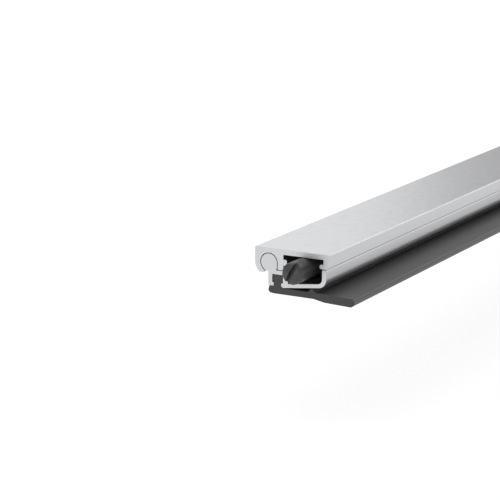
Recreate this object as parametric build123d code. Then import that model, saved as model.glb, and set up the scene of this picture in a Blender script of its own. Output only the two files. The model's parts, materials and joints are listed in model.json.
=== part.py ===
from build123d import *
import os
from math import asin, atan2, cos, degrees, radians, sin, sqrt, tan

# Hinged automatic door bottom seal. A ball-jointed aluminium carrier with a
# rubber blade swings down from an aluminium case when the plunger is pressed.
# X runs across the case, Y along it, Z up. The origin is the centre of the
# case's flat top face, which is fixed to the door. All lengths are millimetres.

# Overall
length = 430.0
case_width = 34.0

# Case extrusion, measured down from its top face and across from its left face
plate_t = 2.15
block_w = 13.15
block_depth = 8.75
jaw_depth = 10.5
jaw_straight = 8.2
jaw_foot_x = 2.1
jaw_tip_x = 3.85
jaw_outer_r = 5.0
jaw_foot_r = 0.6
jaw_clear_deg = 3.5
wall_t = 2.55
slot_h = 2.05
left_lip_reach = 1.6
left_lip_h = 2.5
left_lip_r = 0.6
right_lip_reach = 1.75
right_lip_h = 1.85
lip_round = 0.42
wall_bevel_w = 1.1
wall_bevel_h = 0.72
edge_r = 0.3
edge_chamfer = 0.28

# Ball joint between case and carrier
ball_x = 6.5
ball_z = 6.1
ball_r = 3.7
ball_gap = 0.35
ball_relief_r = 0.35
swing_deg = 25.7

# Carrier extrusion
web_gap = 0.3
web_t = 1.7
groove_x = 8.05
groove_w = 4.95
groove_undercut = 3.45
leg_t = 1.85
foot_h = 1.4
left_foot = 0.65
right_foot = 0.8
foot_r = 0.35
toe_rise = 0.5
toe_r = 0.45
web_over = 1.3
leg_flare = 1.0
leg_flare_h = 2.15
floor_t = 1.6
floor_slope = 7.0
floor_z = 16.05
wall_inset = 1.3
upstand_t = 1.85
bend_r = 2.1
tip_gap = 0.34
tip_bevel_w = 0.25
tip_bevel_h = 0.46
tip_inner_r = 0.3

# Rubber blade
blade_gap = 0.15
root_side_gap = 0.35
blade_reach = 45.5
blade_left_x = 6.2
blade_top_z = 16.25
blade_thin_t = 2.58
blade_thick_t = 3.45
blade_droop = 0.4
blade_step_start = 27.0
blade_step_end = 32.0
blade_thick_top = 16.3
rib_x = 26.15
rib_w = 3.5
rib_tip_r = 0.3
root_corner_r = 0.5
blade_tip_r = 1.4
blade_tip_cut_w = 1.6
blade_tip_cut_h = 0.93
blade_tip_low_r = 0.9
blade_step_r = 3.0
blade_side_in = 0.5
blade_side_h = 1.05
blade_side_r = 0.6
blade_heel_w = 0.9
blade_heel_h = 0.2

# Plunger with its adjusting stud
axis_z = 6.98
plunger_r = 4.6
plunger_out = 10.2
plunger_back = 12.0
plunger_edge_r = 1.5
dome_rise = 0.7
dome_root = 0.2
screw_slot_w = 1.9
screw_slot_depth = 2.6
screw_slot_angle = 28.0
shank_r = 2.7
shank_end = 50.0
stroke = 7.0
stud_r = 1.5
stud_grip = 18.0
bore_extra = 2.0
thread_gap = 0.05
guide_gap = 0.05
nut_flats = 5.5
nut_t = 2.4
stud_tail = 1.3

# Mechanism cassette, an inverted channel held in the case's slot
cassette_start = 22.5
cassette_len = 252.5
cassette_t = 1.6
cassette_leg_t = 1.5
cassette_depth = 9.4
cassette_gap = 0.3
flange_gap = 0.05
flange_relief = 0.1
drill_over = 1.0
block_fit = 0.1
front_block_start = 24.0
front_block_len = 18.0
rear_block_back = 19.0
rear_block_len = 10.0
guide_block_drop = 10.6
guide_block_chamfer = 0.8
guide_pin_r = 1.0
guide_pin_stop = 1.0
grub_r = 1.5
grub_len = 1.6
grub_key = 1.5
grub_key_depth = 0.8
grub_inset = 34.0

# Push bar, a folded strip under the cassette's web
bar_side = 1.675
bar_t = 1.0
bar_gap = 0.3
bar_tab_y = 60.0
bar_tab_drop = 10.3
bar_tail = 6.0
ear_len = 5.0

# Knee links, one pair at each station
front_station_in = 89.5
rear_station_back = 43.0
pivot_z = 7.4
pivot_r = 1.25
pin_gap = 0.05
knee_z = 10.35
link_len = 15.1
link_end_r = 2.0
link_cut_over = 1.0
tongue_share = 0.4
side_gap = 0.3
knee_gap = 0.2
knee_play = 0.95
open_knee_z = 17.43

# Return springs and their anchors
spring_after = 8.0
spring_pin_z = 6.6
spring_pin_r = 0.9
spring_wire_r = 0.25
spring_coil_r = 1.9
spring_turns = 4
top_eye_r = 1.55
bottom_eye_r = 1.0
bottom_eye_z = 11.5
eye_seat = 0.25
eye_root = 0.2
hook_seat = 0.15
anchor_bar_bite = 0.5
anchor_bar_r = 0.45
anchor_plate = 1.2
anchor_inside = 1.9
anchor_foot = 3.0
anchor_foot_t = 0.8
anchor_len = 5.0

# Derived places
half_w = case_width / 2
near_y = -length / 2
slot_right = case_width - wall_t
lip_left = block_w + left_lip_reach
lip_right = slot_right - right_lip_reach
socket_r = ball_r + ball_gap
mid_x = (lip_left + lip_right) / 2 - half_w
lip_top_z = -(plate_t + slot_h)
web_top_z = -(block_depth + web_gap)
groove_top_z = web_top_z - web_t
groove_right = groove_x + groove_w
carrier_left = groove_x - leg_t
neck_angle = -90 - degrees(asin((ball_x - carrier_left) / socket_r))
floor_tan = tan(radians(floor_slope))
floor_rise = floor_t / cos(radians(floor_slope))
case_low_z = lip_top_z - right_lip_h
web_low_z = -(plate_t + cassette_t)
leg_out = (lip_right - lip_left) / 2 - cassette_gap
leg_in = leg_out - cassette_leg_t
bar_w = 2 * (leg_in - bar_side)
guide_pin_z = cassette_depth - 2 * guide_pin_r
bar_top_z = web_low_z - bar_gap
bar_low_z = bar_top_z - bar_t
link_w = bar_w - 2 * (bar_t + side_gap)
tongue_w = tongue_share * (link_w - 2 * side_gap)
link_drop = knee_z - pivot_z
link_run = sqrt(link_len**2 - link_drop**2)
link_angle = degrees(asin(link_drop / link_len))
open_angle = degrees(asin((open_knee_z - pivot_z) / link_len))
cassette_end = cassette_start + cassette_len
stations = {"front": cassette_start + front_station_in, "rear": cassette_end - rear_station_back}
rear_block_start = cassette_end - rear_block_back - rear_block_len


def across(x):
    """Turn a distance from the case's left face into X."""
    return x - half_w


def along(y):
    """Turn a distance from the near end into Y."""
    return near_y + y


def floor_low(x):
    """Height of the carrier floor's underside at a distance from the left face."""
    return -floor_z + (x - groove_right) * floor_tan


def outline(points):
    """Closed flat outline from (distance from left face, height) points."""
    return make_face(Polyline([(across(x), z) for x, z in points], close=True))


def prism(sketch, y0, y1):
    """Run an X-Z outline from one distance along the seal to another."""
    plane = Plane(origin=(0, along(y0), 0), x_dir=(1, 0, 0), z_dir=(0, -1, 0))
    return extrude(plane * sketch, amount=-(y1 - y0))


def side_prism(sketch, x0, x1):
    """Run a Y-Z outline across the seal from one X to another."""
    plane = Plane(origin=(x0, 0, 0), x_dir=(0, 1, 0), z_dir=(1, 0, 0))
    return extrude(plane * sketch, amount=x1 - x0)


def box_between(x0, x1, y0, y1, z0, z1):
    """Block between X limits, distances along the seal and heights."""
    block = Box(abs(x1 - x0), abs(y1 - y0), abs(z1 - z0))
    return Pos((x0 + x1) / 2, along((y0 + y1) / 2), (z0 + z1) / 2) * block


def rod_x(radius, x0, x1, y, z):
    """Round bar along X at a distance along the seal and a height."""
    return Pos((x0 + x1) / 2, along(y), z) * Rot(0, 90, 0) * Cylinder(radius, abs(x1 - x0))


def rod_y(radius, y0, y1, x, z):
    """Round bar along Y between two distances along the seal."""
    return Pos(x, along((y0 + y1) / 2), z) * Rot(90, 0, 0) * Cylinder(radius, abs(y1 - y0))


def round_corner(sketch, x, z, radius):
    """Round the outline corner that lies nearest to a point."""
    spot = Vector(across(x), z, 0)
    corner = min(sketch.vertices(), key=lambda v: (Vector(v.X, v.Y, 0) - spot).length)
    return fillet([corner], radius)


def ball_point(radius, angle):
    """Point round the ball's centre, as a distance from the left face and a height."""
    return (ball_x + radius * cos(radians(angle)), -ball_z + radius * sin(radians(angle)))


def case_section():
    """Top plate, pivot block with its open socket, slot lips and outer wall."""
    jaw_end = ball_point(socket_r, neck_angle - swing_deg - jaw_clear_deg)
    jaw_right = ball_x + socket_r
    block = outline([
        (0, 0), (0, -jaw_straight), (jaw_foot_x, -jaw_depth), (jaw_tip_x, -jaw_depth), jaw_end,
        (ball_x, -ball_z), (jaw_right, -ball_z), (jaw_right, -block_depth),
        (block_w, -block_depth), (block_w, 0),
    ])
    block = round_corner(block, 0, -jaw_straight, jaw_outer_r)
    block = round_corner(block, jaw_foot_x, -jaw_depth, jaw_foot_r)
    plate = outline([
        (0, 0), (case_width - edge_chamfer, 0), (case_width, -edge_chamfer),
        (case_width, -plate_t), (0, -plate_t),
    ])
    left_lip = outline([
        (block_w, lip_top_z), (lip_left, lip_top_z),
        (lip_left, lip_top_z - left_lip_h), (block_w, lip_top_z - left_lip_h),
    ])
    left_lip = round_corner(left_lip, lip_left, lip_top_z, left_lip_r)
    left_lip = round_corner(left_lip, lip_left, lip_top_z - left_lip_h, left_lip_r)
    wall = outline([
        (slot_right, -plate_t), (case_width, -plate_t), (case_width, case_low_z + wall_bevel_h),
        (case_width - wall_bevel_w, case_low_z), (lip_right, case_low_z),
        (lip_right, lip_top_z), (slot_right, lip_top_z),
    ])
    tip_r = right_lip_h * lip_round
    wall = round_corner(wall, lip_right, lip_top_z, tip_r)
    wall = round_corner(wall, lip_right, case_low_z, tip_r)
    socket = Pos(across(ball_x), -ball_z) * Circle(socket_r)
    section = block + plate + left_lip + wall - socket
    return round_corner(section, 0, 0, edge_r)


def carrier_section():
    """Ball, web, rubber groove, sloping floor and upturned wall with its bevelled tip."""
    wall_out = case_width - wall_inset
    wall_in = wall_out - upstand_t
    tip_z = case_low_z - tip_gap
    groove_low = groove_top_z - groove_undercut
    foot_low = groove_low - foot_h
    web_right = groove_right + web_over
    leg_right = web_right + leg_flare
    flare_z = web_top_z - leg_flare_h
    toe_x = groove_right - right_foot
    toe_low = floor_low(groove_right) + toe_rise
    ball_right = ball_x + ball_r
    ball = Pos(across(ball_x), -ball_z) * Circle(ball_r)
    flank = outline([
        (ball_x, -ball_z), (ball_right, -ball_z), (ball_right, web_top_z), (ball_x, web_top_z),
    ])
    relief = Pos(across(ball_right), -block_depth) * Circle(ball_relief_r)
    web = outline([
        (carrier_left, web_top_z), (web_right, web_top_z), (leg_right, flare_z),
        (leg_right, floor_low(leg_right) + floor_rise / 2), (groove_right, floor_low(groove_right)),
        (toe_x, toe_low), (toe_x, groove_low), (groove_right, groove_low),
        (groove_right, groove_top_z), (groove_x, groove_top_z), (groove_x, groove_low),
        (groove_x + left_foot, groove_low), (groove_x + left_foot, foot_low), (carrier_left, foot_low),
    ])
    web = round_corner(web, toe_x, groove_low, foot_r)
    web = round_corner(web, toe_x, toe_low, toe_r)
    web = round_corner(web, carrier_left, foot_low, foot_r)
    tray = outline([
        (groove_right, floor_low(groove_right)), (wall_out, floor_low(wall_out)),
        (wall_out, tip_z - tip_bevel_h), (wall_out - tip_bevel_w, tip_z), (wall_in, tip_z),
        (wall_in, floor_low(wall_in) + floor_rise), (groove_right, floor_low(groove_right) + floor_rise),
    ])
    tray = round_corner(tray, wall_in, floor_low(wall_in) + floor_rise, bend_r)
    tray = round_corner(tray, wall_out, floor_low(wall_out), bend_r + floor_t)
    tray = round_corner(tray, wall_in, tip_z, tip_inner_r)
    return ball + flank + web - relief + tray


def blade_section():
    """Root held in the groove, thin stem, rib under the floor and thick rounded lip."""
    root_l = groove_x + root_side_gap
    root_r = groove_right - blade_gap
    root_top = groove_top_z - blade_gap
    root_low = groove_top_z - groove_undercut + blade_gap
    neck_l = groove_x + left_foot + blade_gap
    neck_r = groove_right - right_foot - blade_gap
    foot_low = groove_top_z - groove_undercut - foot_h - blade_gap
    thin_low = -blade_top_z - blade_thin_t
    thick_low = -blade_thick_top - blade_thick_t
    rib_top = floor_low(rib_x) - blade_gap
    tip_top = -blade_thick_top - blade_droop
    tip_low = thick_low - blade_droop
    side_low = thin_low + blade_side_h
    blade = outline([
        (root_l, root_top), (root_r, root_top), (root_r, root_low), (neck_r, root_low),
        (neck_r, -blade_top_z), (rib_x - rib_w / 2, -blade_top_z), (rib_x, rib_top),
        (rib_x + rib_w / 2, -blade_top_z), (blade_step_end, -blade_thick_top),
        (blade_reach, tip_top), (blade_reach, tip_low + blade_tip_cut_h),
        (blade_reach - blade_tip_cut_w, tip_low),
        (blade_step_end, thick_low), (blade_step_start, thin_low), (neck_l, thin_low),
        (blade_left_x + blade_heel_w, thin_low + blade_heel_h), (blade_left_x, side_low),
        (blade_left_x + blade_side_in, foot_low), (neck_l, foot_low), (neck_l, root_low),
        (root_l, root_low),
    ])
    blade = round_corner(blade, blade_reach, tip_top, blade_tip_r)
    blade = round_corner(blade, blade_reach, tip_low + blade_tip_cut_h, blade_tip_low_r)
    blade = round_corner(blade, blade_reach - blade_tip_cut_w, tip_low, blade_tip_low_r)
    blade = round_corner(blade, rib_x, rib_top, rib_tip_r)
    blade = round_corner(blade, root_l, root_top, root_corner_r)
    blade = round_corner(blade, root_r, root_top, root_corner_r)
    blade = round_corner(blade, blade_left_x, side_low, blade_side_r)
    blade = round_corner(blade, blade_step_start, thin_low, blade_step_r)
    blade = round_corner(blade, blade_step_end, thick_low, blade_step_r)
    return blade


def plunger():
    """Nylon plunger: domed, slotted head, smooth barrel and bored shank."""
    barrel = rod_y(plunger_r, -plunger_out, plunger_back, mid_x, -axis_z)
    front = along(-plunger_out)
    rim = barrel.edges().filter_by(GeomType.CIRCLE).sort_by(Axis.Y)[0]
    barrel = fillet(rim, plunger_edge_r)
    dome_base = plunger_r - plunger_edge_r
    dome_r = (dome_base**2 + dome_rise**2) / (2 * dome_rise)
    dome = Pos(mid_x, front + dome_r - dome_rise, -axis_z) * Sphere(dome_r)
    dome = dome & rod_y(dome_base, -plunger_out - dome_rise, -plunger_out + dome_root, mid_x, -axis_z)
    shank = rod_y(shank_r, plunger_back, shank_end, mid_x, -axis_z)
    bore_start = shank_end - stud_grip - bore_extra
    bore = rod_y(stud_r + thread_gap, bore_start, shank_end, mid_x, -axis_z)
    slot_mid = -plunger_out - dome_rise + screw_slot_depth / 2
    slot = Box(screw_slot_w, screw_slot_depth, 3 * plunger_r)
    slot = Pos(mid_x, along(slot_mid), -axis_z) * Rot(0, screw_slot_angle, 0) * slot
    return barrel + dome + shank - bore - slot


def cassette():
    """Inverted aluminium channel with slot flanges, pin holes and grub screw holes."""
    y0 = cassette_start
    y1 = cassette_end
    flange_out = slot_right - cassette_gap - half_w
    flange_left = across(block_w) + cassette_gap
    flange_low = lip_top_z + flange_gap
    left = mid_x - leg_out
    right = mid_x + leg_out
    web = box_between(flange_left, flange_out, y0, y1, -plate_t, web_low_z)
    left_edge = box_between(flange_left, across(lip_left) - flange_relief, y0, y1, -plate_t, flange_low)
    right_edge = box_between(across(lip_right) + flange_relief, flange_out, y0, y1, -plate_t, flange_low)
    left_leg = box_between(left, left + cassette_leg_t, y0, y1, -plate_t, -cassette_depth)
    right_leg = box_between(right - cassette_leg_t, right, y0, y1, -plate_t, -cassette_depth)
    channel = web + left_edge + right_edge + left_leg + right_leg
    x0 = left - drill_over
    x1 = right + drill_over
    for y in stations.values():
        channel -= rod_x(pivot_r, x0, x1, y, -pivot_z)
        channel -= rod_x(spring_pin_r, x0, x1, y + spring_after, -spring_pin_z)
    for y in guide_pin_places():
        channel -= rod_x(guide_pin_r, x0, x1, y, -guide_pin_z)
    for y in grub_places():
        channel -= Pos(mid_x, along(y), -plate_t - grub_len / 2) * Cylinder(grub_r, grub_len)
    return channel


def guide_pin_places():
    """Distances along the seal of the pins through the two guide blocks."""
    return (front_block_start + front_block_len / 2, rear_block_start + rear_block_len / 2)


def grub_places():
    """Distances along the seal of the two clamping grub screws."""
    return (cassette_start + grub_inset, cassette_end - grub_inset)


def guide_block(y0, block_len):
    """Solid nylon block that fills the cassette, before its channel and pin holes."""
    half = leg_in - block_fit
    block = box_between(mid_x - half, mid_x + half, y0, y0 + block_len, web_low_z, -guide_block_drop)
    bottom = block.edges().filter_by(Axis.Y).sort_by(Axis.Z)[:2]
    return chamfer(bottom, guide_block_chamfer)


def front_guide_block():
    """Block at the end of the cassette, bored for the plunger's shank."""
    end = front_block_start + front_block_len
    block = guide_block(front_block_start, front_block_len)
    block -= rod_y(shank_r + guide_gap, front_block_start, end, mid_x, -axis_z)
    left_stub, right_stub, _ = guide_pins()
    return block - left_stub - right_stub


def rear_guide_block():
    """Block at the far end of the cassette, notched for the push bar."""
    end = rear_block_start + rear_block_len
    half = bar_w / 2 + bar_gap
    notch_low = bar_low_z - bar_gap
    notch = box_between(mid_x - half, mid_x + half, rear_block_start, end, web_low_z, notch_low)
    return guide_block(rear_block_start, rear_block_len) - notch - guide_pins()[2]


def guide_pins():
    """Pins that hold the blocks: two stubs at the front one, one across the rear one."""
    front_y, rear_y = guide_pin_places()
    inner = shank_r + guide_pin_stop
    return [
        rod_x(guide_pin_r, mid_x - leg_out, mid_x - inner, front_y, -guide_pin_z),
        rod_x(guide_pin_r, mid_x + inner, mid_x + leg_out, front_y, -guide_pin_z),
        rod_x(guide_pin_r, mid_x - leg_out, mid_x + leg_out, rear_y, -guide_pin_z),
    ]


def grub_screws():
    """Grub screws in the cassette's web, with hexagon sockets facing down."""
    screws = []
    for y in grub_places():
        place = Pos(mid_x, along(y), -plate_t - grub_len / 2)
        key = extrude(RegularPolygon(grub_key / 2, 6), amount=grub_key_depth)
        screws.append(place * Cylinder(grub_r, grub_len) - Pos(mid_x, along(y), web_low_z) * key)
    return screws


def bar_pivot(station):
    """Distance along the seal of the push bar's pivot at a station."""
    return station - 2 * link_run


def push_bar():
    """Folded strip with an end tab for the stud and two ears at each station."""
    half = bar_w / 2
    tail = cassette_end - bar_tail - stroke
    bar = box_between(mid_x - half, mid_x + half, bar_tab_y, tail, bar_top_z, bar_low_z)
    tab_end = bar_tab_y + bar_t
    bar += box_between(mid_x - half, mid_x + half, bar_tab_y, tab_end, bar_top_z, -bar_tab_drop)
    for station in stations.values():
        y = bar_pivot(station)
        profile = Pos(along(y), -pivot_z) * Circle(ear_len / 2)
        upper = Pos(along(y), (bar_low_z - pivot_z) / 2) * Rectangle(ear_len, pivot_z + bar_low_z)
        for x0 in (mid_x - half, mid_x + half - bar_t):
            bar += side_prism(profile + upper, x0, x0 + bar_t)
        bar -= rod_x(pivot_r, mid_x - half, mid_x + half, y, -pivot_z)
    return bar - rod_y(stud_r, bar_tab_y, tab_end, mid_x, -axis_z)


def adjusting_stud():
    """Threaded stud that joins the plunger to the push bar's tab."""
    end = bar_tab_y + bar_t + stud_tail
    return rod_y(stud_r, shank_end - stud_grip, end, mid_x, -axis_z)


def lock_nut():
    """Hexagon nut locked against the front of the tab."""
    nut = extrude(RegularPolygon(nut_flats / 2, 6, major_radius=False), amount=nut_t)
    nut = Pos(mid_x, along(bar_tab_y), -axis_z) * Rot(90, 0, 0) * nut
    return nut - rod_y(stud_r, bar_tab_y - nut_t, bar_tab_y, mid_x, -axis_z)


def link_outline(y0, z0, y1, z1):
    """Outline of a link with round ends between two pivots."""
    run = y1 - y0
    rise = z1 - z0
    tilt = degrees(atan2(rise, run))
    middle = Pos(along((y0 + y1) / 2), (z0 + z1) / 2) * Rot(0, 0, tilt)
    bar = middle * Rectangle(sqrt(run**2 + rise**2), 2 * link_end_r)
    return bar + Pos(along(y0), z0) * Circle(link_end_r) + Pos(along(y1), z1) * Circle(link_end_r)


def drive_link(station):
    """Forked link from the push bar to the knee; its knee hole is a short slot."""
    y0 = bar_pivot(station)
    y1 = station - link_run
    half = link_w / 2
    inner = tongue_w / 2 + side_gap
    link = side_prism(link_outline(y0, -pivot_z, y1, -knee_z), mid_x - half, mid_x + half)
    depth = link_end_r + side_gap + knee_play
    reach = link_end_r + link_cut_over
    fork = Box(2 * inner, depth + reach, 3 * link_end_r)
    fork_tilt = Rot(-link_angle, 0, 0) * Pos(0, (reach - depth) / 2, 0)
    link -= Pos(mid_x, along(y1), -knee_z) * fork_tilt * fork
    link -= rod_x(pivot_r + pin_gap, mid_x - half, mid_x + half, y0, -pivot_z)
    slot_r = pivot_r + knee_gap
    tilt = (open_angle - link_angle) / 2
    drift_y = knee_play * cos(radians(tilt))
    drift_z = knee_play * sin(radians(tilt))
    for share in (0, 1):
        hole_y = y1 - share * drift_y
        hole_z = -knee_z - share * drift_z
        link -= rod_x(slot_r, mid_x - half, mid_x + half, hole_y, hole_z)
    slot = Pos(mid_x, along(y1 - drift_y / 2), -knee_z - drift_z / 2) * Rot(tilt, 0, 0)
    return link - slot * Box(link_w, knee_play, 2 * slot_r)


def knee_link(station):
    """Link from the knee to its fixed pivot, with a narrow tongue in the fork."""
    y0 = station - link_run
    half = link_w / 2
    link = side_prism(link_outline(y0, -knee_z, station, -pivot_z), mid_x - half, mid_x + half)
    depth = link_end_r + side_gap + knee_play
    reach = link_end_r + link_cut_over
    cheek = Box(half, depth + reach, 3 * link_end_r)
    tilt = Rot(link_angle, 0, 0) * Pos(0, (depth - reach) / 2, 0)
    for side in (-1, 1):
        link -= Pos(mid_x + side * (tongue_w + half) / 2, along(y0), -knee_z) * tilt * cheek
    link -= rod_x(pivot_r + pin_gap, mid_x - half, mid_x + half, station, -pivot_z)
    return link - rod_x(pivot_r, mid_x - half, mid_x + half, y0, -knee_z)


def wire_eye(radius, y, z):
    """Ring of spring wire that stands across a pin."""
    wire = RegularPolygon(spring_wire_r, 6)
    return Pos(mid_x, along(y), z) * revolve(Plane.XZ * Pos(0, radius) * wire, Axis.X)


def return_spring(y):
    """Close-wound tension spring with an eye at each end."""
    top_eye_z = -spring_pin_z - eye_seat
    coil_top = top_eye_z - top_eye_r - spring_wire_r + eye_root
    wire_d = 2 * spring_wire_r
    inner = spring_coil_r - spring_wire_r
    outer = [(spring_coil_r, 0)]
    for turn in range(spring_turns):
        outer.append((spring_coil_r + spring_wire_r, -wire_d * (turn + 0.5)))
        outer.append((spring_coil_r, -wire_d * (turn + 1)))
    profile = make_face(Polyline([(inner, 0), *outer, (inner, -wire_d * spring_turns)], close=True))
    coil = Pos(mid_x, along(y), coil_top) * revolve(Plane.XZ * profile, Axis.Z)
    coil_low = coil_top - wire_d * spring_turns
    eyes = wire_eye(top_eye_r, y, top_eye_z) + wire_eye(bottom_eye_r, y, -bottom_eye_z)
    arm = Box(wire_d, 2 * spring_coil_r, wire_d)
    arms = Pos(mid_x, along(y), coil_top - spring_wire_r) * arm
    arms += Pos(mid_x, along(y), coil_low + spring_wire_r) * arm
    return coil + eyes + arms


def spring_anchor(y):
    """Staple bracket on the carrier floor with a bar that the spring's eye hooks on."""
    floor_mid = floor_low(mid_x + half_w) + floor_rise
    tilt = Pos(mid_x, along(y), floor_mid) * Rot(0, -floor_slope, 0)
    bar_z = -bottom_eye_z - hook_seat
    height = bar_z - floor_mid + anchor_bar_r
    bar_half = anchor_inside + anchor_bar_bite
    staple = rod_x(anchor_bar_r, mid_x - bar_half, mid_x + bar_half, y, bar_z)
    for side in (-1, 1):
        wall_x = side * (anchor_inside + anchor_plate / 2)
        staple += tilt * Pos(wall_x, 0, height / 2) * Box(anchor_plate, anchor_len, height)
        foot_x = side * (anchor_inside + anchor_foot / 2)
        staple += tilt * Pos(foot_x, 0, anchor_foot_t / 2) * Box(anchor_foot, anchor_len, anchor_foot_t)
    return staple


def build_parts():
    """Make every piece, as a name and its solid or solids."""
    pieces = {
        "case_profile": prism(case_section(), 0, length),
        "carrier_profile": prism(carrier_section(), 0, length),
        "seal_blade": prism(blade_section(), 0, length),
        "plunger": plunger(),
        "adjusting_stud": adjusting_stud(),
        "lock_nut": lock_nut(),
        "push_bar": push_bar(),
        "cassette_channel": cassette(),
        "guide_pins": Compound(children=guide_pins()),
        "cassette_grub_screws": Compound(children=grub_screws()),
        "front_guide_block": front_guide_block(),
        "rear_guide_block": rear_guide_block(),
    }
    for name, station in stations.items():
        spring_y = station + spring_after
        knee_y = station - link_run
        pin_out = bar_w / 2
        half = link_w / 2
        pieces[name + "_drive_link"] = drive_link(station)
        pieces[name + "_knee_link"] = knee_link(station)
        pieces[name + "_fixed_pin"] = rod_x(pivot_r, mid_x - leg_out, mid_x + leg_out, station, -pivot_z)
        bar_y = bar_pivot(station)
        pieces[name + "_bar_pin"] = rod_x(pivot_r, mid_x - pin_out, mid_x + pin_out, bar_y, -pivot_z)
        pieces[name + "_knee_pin"] = rod_x(pivot_r, mid_x - half, mid_x + half, knee_y, -knee_z)
        upper = rod_x(spring_pin_r, mid_x - leg_out, mid_x + leg_out, spring_y, -spring_pin_z)
        pieces[name + "_spring_pin"] = upper
        pieces[name + "_return_spring"] = return_spring(spring_y)
        pieces[name + "_spring_anchor"] = spring_anchor(spring_y)
    return pieces


os.makedirs("parts", exist_ok=True)
for node, shape in build_parts().items():
    export_step(shape, "parts/" + node + ".step")
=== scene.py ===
"""Dresses the hinged door bottom seal for its render and its visual model.

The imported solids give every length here. Metal, nylon and rubber finishes are
procedural and read object coordinates. The wire springs, the threaded stud and
its lock nut are modelled as new pieces, because their solids are plain.
"""
import json
import logging
import math
from dataclasses import dataclass, field
from enum import Enum

import bpy
from mathutils import Matrix, Vector


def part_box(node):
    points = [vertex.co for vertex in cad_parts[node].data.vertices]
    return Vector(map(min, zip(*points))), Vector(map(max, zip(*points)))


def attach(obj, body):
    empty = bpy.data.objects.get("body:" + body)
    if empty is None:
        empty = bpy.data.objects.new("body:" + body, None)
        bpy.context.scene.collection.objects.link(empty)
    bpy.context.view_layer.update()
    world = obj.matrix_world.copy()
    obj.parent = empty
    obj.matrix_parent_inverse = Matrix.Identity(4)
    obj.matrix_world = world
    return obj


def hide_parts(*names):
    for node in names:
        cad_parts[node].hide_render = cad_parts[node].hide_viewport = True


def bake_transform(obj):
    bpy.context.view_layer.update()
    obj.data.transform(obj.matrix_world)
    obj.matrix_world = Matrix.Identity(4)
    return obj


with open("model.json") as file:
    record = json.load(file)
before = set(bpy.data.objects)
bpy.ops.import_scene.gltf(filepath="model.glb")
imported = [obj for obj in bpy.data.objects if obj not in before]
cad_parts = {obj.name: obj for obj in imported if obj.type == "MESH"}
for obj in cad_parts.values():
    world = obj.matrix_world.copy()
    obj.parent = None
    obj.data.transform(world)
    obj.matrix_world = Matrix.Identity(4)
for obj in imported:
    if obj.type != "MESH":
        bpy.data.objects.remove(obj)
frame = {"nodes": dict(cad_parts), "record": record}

LOG = logging.getLogger("seal")
MM = 0.001
NO_FACE = 1e-6
SKIN = 0.06 * MM
SMOOTH_DEG = 35.0

Color = tuple[float, float, float]
Socket = bpy.types.NodeSocket


class Body(Enum):
    """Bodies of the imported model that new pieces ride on."""

    CASE = "case"
    CARRIER = "carrier"
    PUSH_ROD = "push_rod"


class Slot(Enum):
    """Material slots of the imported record."""

    CASE = "case_aluminium"
    CARRIER = "carrier_aluminium"
    CASSETTE = "cassette_aluminium"
    PLUNGER = "plunger_nylon"
    GUIDE = "guide_nylon"
    LINK = "link_nylon"
    BLADE = "blade_rubber"
    ZINC = "zinc_steel"
    SPRING = "spring_steel"


class Grain(Enum):
    """Noise scales per metre, by the direction that a surface was worked in."""

    LONG_FINE = (2600.0, 16.0, 2600.0)
    LONG_BROAD = (620.0, 5.0, 620.0)
    SAWN = (240.0, 240.0, 5200.0)
    TURNED = (700.0, 6500.0, 700.0)
    EVEN = (1500.0, 1500.0, 1500.0)
    PATCHY = (330.0, 180.0, 330.0)


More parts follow.
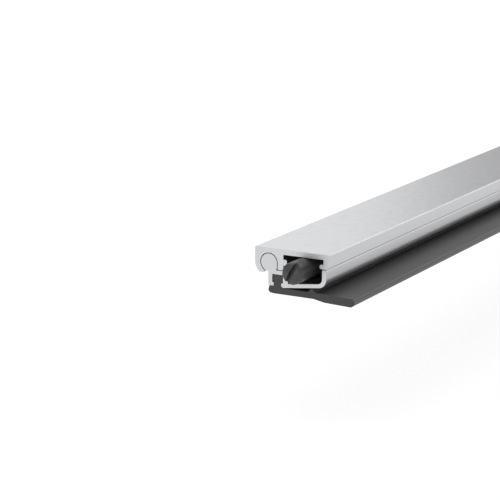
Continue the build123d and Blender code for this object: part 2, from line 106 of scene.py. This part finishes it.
class Graph:
    """Short calls for building one material's nodes."""

    def __init__(self, name: str) -> None:
        """Start an empty material with its shader and output."""
        self.material = bpy.data.materials.new(name)
        self.material.use_nodes = True
        self.tree = self.material.node_tree
        self.tree.nodes.clear()
        output = self.tree.nodes.new("ShaderNodeOutputMaterial")
        self.shader = self.tree.nodes.new("ShaderNodeBsdfPrincipled")
        self.tree.links.new(self.shader.outputs["BSDF"], output.inputs["Surface"])
        self.coords = self.tree.nodes.new("ShaderNodeTexCoord").outputs["Object"]

    def put(self, socket: str, value: float | Color | Socket) -> None:
        """Set one shader input to a number or colour, or link it.

        Args:
            socket: The shader input's name.
            value: A constant, or the output that drives it.
        """
        target = self.shader.inputs[socket]
        if isinstance(value, bpy.types.NodeSocket):
            self.tree.links.new(value, target)
        elif isinstance(value, tuple):
            target.default_value = (*value, 1.0)
        else:
            target.default_value = value

    def feed(self, node: bpy.types.Node, index: int, value: float | Socket) -> None:
        """Set or link one input of a node by its number."""
        if isinstance(value, bpy.types.NodeSocket):
            self.tree.links.new(value, node.inputs[index])
        else:
            node.inputs[index].default_value = value

    def math(self, operation: str, a: float | Socket, b: float | Socket = 0.0) -> Socket:
        """Join two values with one arithmetic operation.

        Args:
            operation: Blender's name of the operation.
            a: First value.
            b: Second value.

        Returns:
            The result's output.
        """
        node = self.tree.nodes.new("ShaderNodeMath")
        node.operation = operation
        self.feed(node, 0, a)
        self.feed(node, 1, b)
        return node.outputs[0]

    def axis(self, letter: str) -> Socket:
        """Object coordinate along X, Y or Z, in metres."""
        node = self.tree.nodes.new("ShaderNodeSeparateXYZ")
        self.tree.links.new(self.coords, node.inputs[0])
        return node.outputs[letter]

    def noise(self, grain: Grain, detail: float = 3.0) -> Socket:
        """Noise stretched along a grain.

        Args:
            grain: Scales along the three axes.
            detail: Number of octaves.

        Returns:
            The noise's value, about 0.5 on average.
        """
        mapping = self.tree.nodes.new("ShaderNodeMapping")
        mapping.inputs["Scale"].default_value = grain.value
        self.tree.links.new(self.coords, mapping.inputs["Vector"])
        node = self.tree.nodes.new("ShaderNodeTexNoise")
        node.inputs["Scale"].default_value = 1.0
        node.inputs["Detail"].default_value = detail
        self.tree.links.new(mapping.outputs[0], node.inputs["Vector"])
        return node.outputs[0]

    def around(self, noise: Socket, swing: float, middle: float = 1.0) -> Socket:
        """Turn a noise into a factor that swings about a middle value."""
        centred = self.math("SUBTRACT", noise, 0.5)
        return self.math("ADD", self.math("MULTIPLY", centred, swing), middle)

    def choose(self, mask: Socket, off: float | Socket, on: float | Socket) -> Socket:
        """Blend two numbers by a mask.

        Args:
            mask: 0 gives the first number, 1 the second.
            off: Value where the mask is 0.
            on: Value where the mask is 1.

        Returns:
            The blended number.
        """
        node = self.tree.nodes.new("ShaderNodeMix")
        self.feed(node, 0, mask)
        self.feed(node, 2, off)
        self.feed(node, 3, on)
        return node.outputs[0]

    def shade(self, color: Color, factor: Socket) -> Socket:
        """Scale a colour by a varying factor.

        Args:
            color: The plain colour.
            factor: Output that gives the factor.

        Returns:
            The scaled colour's output.
        """
        node = self.tree.nodes.new("ShaderNodeVectorMath")
        node.operation = "SCALE"
        node.inputs[0].default_value = color
        self.tree.links.new(factor, node.inputs["Scale"])
        return node.outputs[0]

    def bump(self, height: Socket, depth: float) -> None:
        """Add fine relief of a depth in metres to the shader's normal."""
        node = self.tree.nodes.new("ShaderNodeBump")
        node.inputs["Strength"].default_value = 1.0
        node.inputs["Distance"].default_value = depth
        self.tree.links.new(height, node.inputs["Height"])
        self.put("Normal", node.outputs[0])


@dataclass(frozen=True)
class Extrusion:
    """Anodised extruded aluminium with die lines, sawn ends and a brushed top.

    The shades scale the colour. The end shade and the top shade make the sawn ends and the
    brushed top lighter than the sides: partly their own finishes, partly painted light. The
    lines, cloud and ripple say how far the noise swings: lines and cloud in colour, ripple in
    relief on the top.
    """

    name: str
    color: Color = (0.59, 0.595, 0.606)
    metallic: float = 1.0
    roughness: float = 0.34
    die_line: float = 0.10
    saw_line: float = 0.03
    relief: float = 0.0000015
    # The end shade lightens the sawn ends: partly their own sawn finish, partly painted light.
    sawn_end_and_painted_light: float = 1.18
    end_roughness: float = 0.46
    brushed: bool = False
    # The top shade lifts the brushed top above the sides: partly its own finish, partly painted
    # light.
    brushed_top_and_painted_light: float = 1.015
    brushed_roughness: float = 0.36
    brush_line: float = 0.08
    cloud: float = 0.22
    ripple: float = 60.0

    def material(self, half_length: float) -> bpy.types.Material:
        """Build the finish.

        Args:
            half_length: Distance from the middle to each sawn end, in metres.

        Returns:
            The material.
        """
        graph = Graph(self.name)
        fine = graph.noise(Grain.LONG_FINE)
        broad = graph.noise(Grain.LONG_BROAD, 2.0)
        saw = graph.noise(Grain.SAWN, 2.0)
        out = graph.math("ABSOLUTE", graph.axis("Y"))
        is_end = graph.math("GREATER_THAN", out, half_length - SKIN)
        side = graph.math("MULTIPLY", graph.around(fine, self.die_line),
                          graph.around(broad, self.die_line))
        rough = graph.around(fine, self.die_line, self.roughness)
        height = fine
        if self.brushed:
            is_top = graph.math("GREATER_THAN", graph.axis("Z"), -SKIN)
            patches = graph.noise(Grain.PATCHY, 5.0)
            # Brushed top colour: its own brush lines, plus painted light from the top shade.
            lines = graph.around(fine, self.brush_line, self.brushed_top_and_painted_light)
            brushed = graph.math("MULTIPLY", lines, graph.around(patches, self.cloud))
            rippled = graph.math("ADD", fine, graph.math("MULTIPLY", patches, self.ripple))
            polish = graph.around(fine, self.brush_line, self.brushed_roughness)
            height = graph.choose(is_top, fine, rippled)
            side = graph.choose(is_top, side, brushed)
            rough = graph.choose(is_top, rough, polish)
        # Sawn ends: saw marks, plus painted light from the end shade.
        end = graph.around(saw, self.saw_line, self.sawn_end_and_painted_light)
        graph.put("Base Color", graph.shade(self.color, graph.choose(is_end, side, end)))
        graph.put("Roughness", graph.choose(is_end, rough, self.end_roughness))
        graph.put("Metallic", self.metallic)
        graph.bump(graph.choose(is_end, height, saw), self.relief)
        return graph.material


@dataclass(frozen=True)
class Moulding:
    """Nylon or rubber with a faint mottle, a grain in its surface and darker cut ends, partly matte
    cut finish and partly painted shade.
    """

    name: str
    color: Color
    roughness: float = 0.42
    grain: Grain = Grain.EVEN
    mottle: float = 0.08
    relief: float = 0.000004
    specular: float = 0.5
    cut_at: float = 1.0
    cut_finish_and_painted_shade: float = 0.8

    def material(self) -> bpy.types.Material:
        """Build the finish."""
        graph = Graph(self.name)
        worked = graph.noise(self.grain)
        is_cut = graph.math("GREATER_THAN", graph.math("ABSOLUTE", graph.axis("Y")), self.cut_at)
        # Cut ends are darkened: partly their matte cut finish, partly painted shade.
        mottle_and_painted_shade = graph.choose(is_cut, graph.around(worked, self.mottle), self.cut_finish_and_painted_shade)
        graph.put("Base Color", graph.shade(self.color, mottle_and_painted_shade))
        graph.put("Roughness", graph.around(worked, self.mottle, self.roughness))
        graph.put("Specular IOR Level", self.specular)
        graph.bump(worked, self.relief)
        return graph.material


@dataclass(frozen=True)
class Steel:
    """Plated or drawn steel for pins, strip and wire."""

    name: str
    color: Color
    roughness: float = 0.3
    grain: Grain = Grain.LONG_FINE
    patchy: float = 0.12
    relief: float = 0.000002

    def material(self) -> bpy.types.Material:
        """Build the finish."""
        graph = Graph(self.name)
        worked = graph.noise(self.grain)
        graph.put("Base Color", graph.shade(self.color, graph.around(worked, self.patchy)))
        graph.put("Roughness", graph.around(worked, self.patchy, self.roughness))
        graph.put("Metallic", 1.0)
        graph.bump(worked, self.relief)
        return graph.material


@dataclass
class Finishes:
    """All finishes of the seal, by material slot."""

    half_length: float
    made: dict[Slot, bpy.types.Material] = field(default_factory=dict)

    def build(self) -> None:
        """Make one material for each slot of the record."""
        case = Extrusion("case_anodised", brushed=True)
        carrier = Extrusion("carrier_anodised", color=(0.582, 0.588, 0.595))
        cassette = Extrusion("cassette_mill", color=(0.5, 0.505, 0.51), roughness=0.4)
        plunger = Moulding("plunger_black_nylon", (0.054, 0.054, 0.054), 0.36, Grain.TURNED)
        # The blade's cut ends are darkened: partly matte cut rubber, partly painted shade.
        blade = Moulding("blade_dark_rubber", (0.079, 0.079, 0.079), 0.4, Grain.LONG_FINE,
                         mottle=0.1, relief=0.000006, specular=0.45,
                         cut_at=self.half_length - SKIN, cut_finish_and_painted_shade=0.65)
        self.made = {
            Slot.CASE: case.material(self.half_length),
            Slot.CARRIER: carrier.material(self.half_length),
            Slot.CASSETTE: cassette.material(self.half_length),
            Slot.PLUNGER: plunger.material(),
            # The guide's nylon colour is set lighter than the plunger's: painted light that lifts the
            # dark cavity.
            Slot.GUIDE: Moulding("guide_black_nylon", (0.09, 0.09, 0.09), 0.5).material(),
            Slot.LINK: Moulding("link_grey_nylon", (0.08, 0.08, 0.085), 0.45).material(),
            Slot.BLADE: blade.material(),
            Slot.ZINC: Steel("zinc_plate", (0.62, 0.63, 0.64)).material(),
            Slot.SPRING: Steel("spring_wire", (0.5, 0.5, 0.52), 0.26, Grain.EVEN).material(),
        }

    def dress_solids(self) -> None:
        """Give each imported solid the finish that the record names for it."""
        for row in frame["record"]["subparts"]:
            mesh = frame["nodes"][row["node"]].data
            mesh.materials.clear()
            mesh.materials.append(self.made[Slot(row["material_slot"])])


def select_only(*objects: bpy.types.Object) -> None:
    """Leave only these objects selected, the last of them active."""
    bpy.ops.object.select_all(action="DESELECT")
    for obj in objects:
        obj.select_set(True)
        bpy.context.view_layer.objects.active = obj


def settle(name: str, *objects: bpy.types.Object) -> bpy.types.Object:
    """Join objects into one closed piece whose place is in its mesh.

    Args:
        name: Name of the finished piece.
        objects: The parts to join.

    Returns:
        The finished piece at the origin, unturned.
    """
    select_only(*objects)
    if len(objects) > 1:
        bpy.ops.object.join()
    bpy.ops.object.transform_apply(location=True, rotation=True, scale=True)
    piece = bpy.context.object
    piece.name = name
    bpy.ops.object.mode_set(mode="EDIT")
    bpy.ops.mesh.select_all(action="SELECT")
    bpy.ops.mesh.remove_doubles(threshold=NO_FACE)
    bpy.ops.mesh.normals_make_consistent(inside=False)
    bpy.ops.object.mode_set(mode="OBJECT")
    bpy.ops.object.shade_smooth_by_angle(angle=math.radians(SMOOTH_DEG))
    return piece


def helix(centre: Vector, radius: float, section: float, corners: int, turns: float,
          rise: float, steps: int) -> bpy.types.Object:
    """Sweep a small ring into a closed helix.

    Args:
        centre: Middle of the helix's first turn.
        radius: Radius of the helix.
        section: Radius of the ring that is swept.
        corners: Number of corners of the ring.
        turns: Number of turns.
        rise: Height from the first ring to the last, along Z.
        steps: Rings for each turn.

    Returns:
        The helix, with both ends closed.
    """
    bpy.ops.object.select_all(action="DESELECT")
    bpy.ops.mesh.primitive_circle_add(vertices=corners, radius=section, location=centre)
    coil = bpy.context.object
    bpy.ops.object.mode_set(mode="EDIT")
    bpy.ops.transform.rotate(value=math.pi / 2, orient_axis="X", center_override=centre)
    bpy.ops.transform.translate(value=(radius, 0, 0))
    bpy.ops.object.mode_set(mode="OBJECT")
    sweep = coil.modifiers.new("sweep", "SCREW")
    sweep.angle = math.tau * turns
    sweep.screw_offset = rise
    sweep.steps = sweep.render_steps = round(steps * turns)
    sweep.use_merge_vertices = False
    bpy.ops.object.modifier_apply(modifier="sweep")
    bpy.ops.object.mode_set(mode="EDIT")
    bpy.ops.mesh.select_all(action="SELECT")
    bpy.ops.mesh.fill_holes(sides=0)
    bpy.ops.object.mode_set(mode="OBJECT")
    return coil


@dataclass
class ReturnSpring:
    """Wire tension spring with an eye over a pin and an eye on the carrier's staple."""

    station: str
    finishes: Finishes
    wire_r: float = 0.25 * MM
    top_eye_r: float = 1.55 * MM
    bottom_eye_r: float = 1.0 * MM
    turns: float = 4.0
    turn_steps: int = 20
    eye_steps: int = 28
    wire_corners: int = 8
    seat_share: float = 0.2

    def build(self) -> bpy.types.Object:
        """Wind the coil, add the eyes and hang it between case and carrier.

        Returns:
            The finished spring.
        """
        node = f"{self.station}_return_spring"
        low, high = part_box(node)
        middle = (low + high) / 2
        coil_r = (high.x - low.x) / 2 - self.wire_r
        seat = self.wire_r * self.seat_share
        top = Vector((middle.x, middle.y, high.z - self.wire_r - self.top_eye_r))
        bottom = Vector((middle.x, middle.y, low.z + self.wire_r + self.bottom_eye_r))
        start = Vector((middle.x, middle.y, top.z - self.top_eye_r - seat))
        end = Vector((middle.x, middle.y, bottom.z + self.bottom_eye_r + seat))
        coil = helix(start, coil_r, self.wire_r, self.wire_corners, self.turns, end.z - start.z,
                     self.turn_steps)
        parts = [coil, self.eye(top, self.top_eye_r), self.eye(bottom, self.bottom_eye_r),
                 self.arm(start, coil_r), self.arm(end, coil_r)]
        piece = settle(f"{self.station}_wire_spring", *parts)
        piece.data.materials.clear()
        piece.data.materials.append(self.finishes.made[Slot.SPRING])
        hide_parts(node)
        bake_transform(piece)
        return piece

    def eye(self, centre: Vector, radius: float) -> bpy.types.Object:
        """Ring of wire that stands across the pin."""
        bpy.ops.object.select_all(action="DESELECT")
        bpy.ops.mesh.primitive_torus_add(
            location=centre, rotation=(0, math.pi / 2, 0), major_segments=self.eye_steps,
            minor_segments=self.wire_corners, major_radius=radius, minor_radius=self.wire_r)
        return bpy.context.object

    def arm(self, place: Vector, reach: float) -> bpy.types.Object:
        """Short straight wire from the coil's side to its middle."""
        bpy.ops.object.select_all(action="DESELECT")
        centre = place + Vector((reach / 2, 0, 0))
        bpy.ops.mesh.primitive_cylinder_add(
            vertices=self.wire_corners, radius=self.wire_r, depth=reach, location=centre,
            rotation=(0, math.pi / 2, 0))
        return bpy.context.object


@dataclass
class AdjustingStud:
    """Threaded stud between the plunger and the push bar's tab."""

    finishes: Finishes
    pitch: float = 0.5 * MM
    thread_h: float = 0.27 * MM
    bare_turns: float = 2.0
    core_corners: int = 24
    ridge_corners: int = 3
    turn_steps: int = 16

    def build(self) -> bpy.types.Object:
        """Turn the core and wind its thread.

        Returns:
            The finished stud.
        """
        low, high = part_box("adjusting_stud")
        middle = (low + high) / 2
        length = high.y - low.y
        radius = (high.z - low.z) / 2
        core_r = radius - self.thread_h
        bpy.ops.object.select_all(action="DESELECT")
        bpy.ops.mesh.primitive_cylinder_add(vertices=self.core_corners, radius=core_r, depth=length,
                                            location=middle, rotation=(math.pi / 2, 0, 0))
        core = bpy.context.object
        turns = math.floor(length / self.pitch) - self.bare_turns
        rise = turns * self.pitch
        start = Vector((0.0, 0.0, -rise / 2))
        thread = helix(start, core_r, self.thread_h, self.ridge_corners, turns, rise, self.turn_steps)
        laid = Matrix.Translation(middle) @ Matrix.Rotation(math.pi / 2, 4, "X")
        thread.matrix_world = laid @ thread.matrix_world
        piece = settle("threaded_stud", core, thread)
        piece.data.materials.clear()
        piece.data.materials.append(self.finishes.made[Slot.ZINC])
        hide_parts("adjusting_stud")
        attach(piece, Body.PUSH_ROD.value)
        return piece


@dataclass
class LockNut:
    """Hexagon nut with turned chamfers on both faces."""

    finishes: Finishes
    chamfer: float = 0.3 * MM
    corner_share: float = 0.985
    turned_corners: int = 48
    bore_corners: int = 32

    def build(self) -> bpy.types.Object:
        """Cut the nut from a hexagon bar.

        Returns:
            The finished nut.
        """
        low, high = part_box("lock_nut")
        middle = (low + high) / 2
        flats = high.z - low.z
        depth = high.y - low.y
        corner_r = flats / math.sqrt(3)
        turn = (math.pi / 2, 0, 0)
        bpy.ops.object.select_all(action="DESELECT")
        bpy.ops.mesh.primitive_cylinder_add(vertices=6, radius=corner_r, depth=depth, location=middle,
                                            rotation=(math.pi / 2, math.pi / 6, 0))
        nut = bpy.context.object
        bpy.ops.object.select_all(action="DESELECT")
        bpy.ops.mesh.primitive_cylinder_add(
            vertices=self.turned_corners, radius=corner_r * self.corner_share, depth=depth,
            location=middle, rotation=turn)
        turned = bpy.context.object
        edge = turned.modifiers.new("edge", "BEVEL")
        edge.width = self.chamfer
        edge.segments = 1
        bpy.ops.object.modifier_apply(modifier="edge")
        stud_low, stud_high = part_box("adjusting_stud")
        bpy.ops.object.select_all(action="DESELECT")
        bpy.ops.mesh.primitive_cylinder_add(
            vertices=self.bore_corners, radius=(stud_high.z - stud_low.z) / 2, depth=2 * depth,
            location=middle, rotation=turn)
        bore = bpy.context.object
        for operation, tool in (("INTERSECT", turned), ("DIFFERENCE", bore)):
            select_only(nut)
            cut = nut.modifiers.new("cut", "BOOLEAN")
            cut.operation = operation
            cut.object = tool
            bpy.ops.object.modifier_apply(modifier="cut")
            bpy.data.objects.remove(tool)
        piece = settle("hexagon_lock_nut", nut)
        piece.data.materials.clear()
        piece.data.materials.append(self.finishes.made[Slot.ZINC])
        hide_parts("lock_nut")
        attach(piece, Body.PUSH_ROD.value)
        return piece


@dataclass(frozen=True)
class Softbox:
    """Large soft lamp that is aimed at the seal."""

    name: str
    place: tuple[float, float, float]
    size: tuple[float, float]
    watts: float

    def light(self) -> None:
        """Hang the lamp, unseen by the camera."""
        lamp = bpy.data.lights.new(self.name, "AREA")
        lamp.shape = "RECTANGLE"
        lamp.size, lamp.size_y = self.size
        lamp.energy = self.watts
        obj = bpy.data.objects.new(self.name, lamp)
        obj.location = self.place
        obj.rotation_mode = "QUATERNION"
        obj.rotation_quaternion = (-Vector(self.place)).to_track_quat("-Z", "Y")
        obj.visible_camera = False
        bpy.context.scene.collection.objects.link(obj)


SOFTBOXES = (
    Softbox("back_softbox", (-1.54, 1.71, 0.93), (1.44, 1.2), 5.2),
    Softbox("edge_softbox", (0.47, 1.69, 0.96), (0.5, 0.5), 1.5),
    Softbox("rim_softbox", (0.87, 1.70, 0.585), (0.8, 0.8), 2.2),
    Softbox("top_softbox", (-0.45, -0.35, 1.95), (1.8, 1.8), 11.5),
    Softbox("front_softbox", (-0.7, -1.6, 1.4), (1.4, 1.4), 2.6),
    Softbox("low_softbox", (0.2, -2.0, 0.3), (0.8, 0.8), 3.0),
    Softbox("right_softbox", (0.7, -0.4, 1.8), (1.0, 1.0), 4.0),
)


@dataclass
class Studio:
    """Pale floor, soft lamps, white surroundings and the camera."""

    floor_z: float = -0.075
    floor_size: float = 12.0
    floor_as_light: float = 0.8
    floor_as_seen: float = 0.3
    floor_glow: float = 0.8
    camera_at: tuple[float, float, float] = (0.36046, -0.88037, 0.18247)
    azimuth: float = 29.72
    elevation: float = 13.54
    lens: float = 139.1
    ambient: float = 0.47

    def build(self) -> None:
        """Set the stage, the lamps and the camera."""
        bpy.context.scene.view_settings.view_transform = "Standard"
        self.floor()
        self.world()
        for softbox in SOFTBOXES:
            softbox.light()
        self.camera()

    def floor(self) -> None:
        """Pale floor that shows white and keeps the shadow.

        Rays that show the floor itself see a faint diffuse part and a glow. The
        others see a plain pale floor.
        """
        bpy.ops.object.select_all(action="DESELECT")
        bpy.ops.mesh.primitive_plane_add(size=self.floor_size, location=(0, 0, self.floor_z))
        plane = bpy.context.object
        plane.name = "studio_floor"
        material = bpy.data.materials.new("pale_floor")
        material.use_nodes = True
        tree = material.node_tree
        tree.nodes.clear()
        output = tree.nodes.new("ShaderNodeOutputMaterial")
        lit = tree.nodes.new("ShaderNodeBsdfDiffuse")
        lit.inputs["Color"].default_value = (*(self.floor_as_light,) * 3, 1.0)
        faint = tree.nodes.new("ShaderNodeBsdfDiffuse")
        faint.inputs["Color"].default_value = (*(self.floor_as_seen,) * 3, 1.0)
        glow = tree.nodes.new("ShaderNodeEmission")
        glow.inputs["Strength"].default_value = self.floor_glow
        both = tree.nodes.new("ShaderNodeAddShader")
        tree.links.new(faint.outputs[0], both.inputs[0])
        tree.links.new(glow.outputs[0], both.inputs[1])
        mix = tree.nodes.new("ShaderNodeMixShader")
        tree.links.new(self.seen(tree), mix.inputs[0])
        tree.links.new(lit.outputs[0], mix.inputs[1])
        tree.links.new(both.outputs[0], mix.inputs[2])
        tree.links.new(mix.outputs[0], output.inputs["Surface"])
        plane.data.materials.append(material)

    def seen(self, tree: bpy.types.NodeTree, glossy: bool = True) -> Socket:
        """Output that is 1 for rays that show the surroundings themselves.

        Args:
            tree: The node tree to add to.
            glossy: Whether reflections count as well.

        Returns:
            The output.
        """
        path = tree.nodes.new("ShaderNodeLightPath")
        value = path.outputs["Is Camera Ray"]
        names = ["Is Transmission Ray"] + (["Is Glossy Ray"] if glossy else [])
        for name in names:
            either = tree.nodes.new("ShaderNodeMath")
            either.operation = "MAXIMUM"
            tree.links.new(value, either.inputs[0])
            tree.links.new(path.outputs[name], either.inputs[1])
            value = either.outputs[0]
        return value

    def world(self) -> None:
        """White surroundings for the camera, and a softer level as light."""
        world = bpy.data.worlds.new("studio_world")
        world.use_nodes = True
        tree = world.node_tree
        tree.nodes.clear()
        output = tree.nodes.new("ShaderNodeOutputWorld")
        back = tree.nodes.new("ShaderNodeBackground")
        back.inputs["Color"].default_value = (1.0, 1.0, 1.0, 1.0)
        level = tree.nodes.new("ShaderNodeMix")
        level.inputs[2].default_value = self.ambient
        level.inputs[3].default_value = 1.0
        tree.links.new(self.seen(tree, glossy=False), level.inputs[0])
        tree.links.new(level.outputs[0], back.inputs["Strength"])
        tree.links.new(back.outputs[0], output.inputs["Surface"])
        bpy.context.scene.world = world

    def camera(self) -> None:
        """Camera at the viewing angle of the picture."""
        data = bpy.data.cameras.new("camera")
        data.lens = self.lens
        data.clip_start, data.clip_end = 0.01, 50.0
        camera = bpy.data.objects.new("camera", data)
        around, down = math.radians(self.azimuth), math.radians(self.elevation)
        ahead = Vector((-math.sin(around) * math.cos(down), math.cos(around) * math.cos(down),
                        -math.sin(down)))
        camera.location = self.camera_at
        camera.rotation_mode = "QUATERNION"
        camera.rotation_quaternion = ahead.to_track_quat("-Z", "Y")
        bpy.context.scene.collection.objects.link(camera)
        bpy.context.scene.camera = camera


def main() -> None:
    """Dress the solids, add the new pieces and set up the studio."""
    logging.basicConfig(level=logging.INFO, format="%(name)s: %(message)s")
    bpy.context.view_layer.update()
    low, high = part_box("case_profile")
    finishes = Finishes(half_length=(high.y - low.y) / 2)
    finishes.build()
    finishes.dress_solids()
    makers = [ReturnSpring("front", finishes), ReturnSpring("rear", finishes),
              AdjustingStud(finishes), LockNut(finishes)]
    for maker in makers:
        piece = maker.build()
        LOG.info("%s has %d faces", piece.name, len(piece.data.polygons))
    Studio().build()


if __name__ == "__main__":
    main()
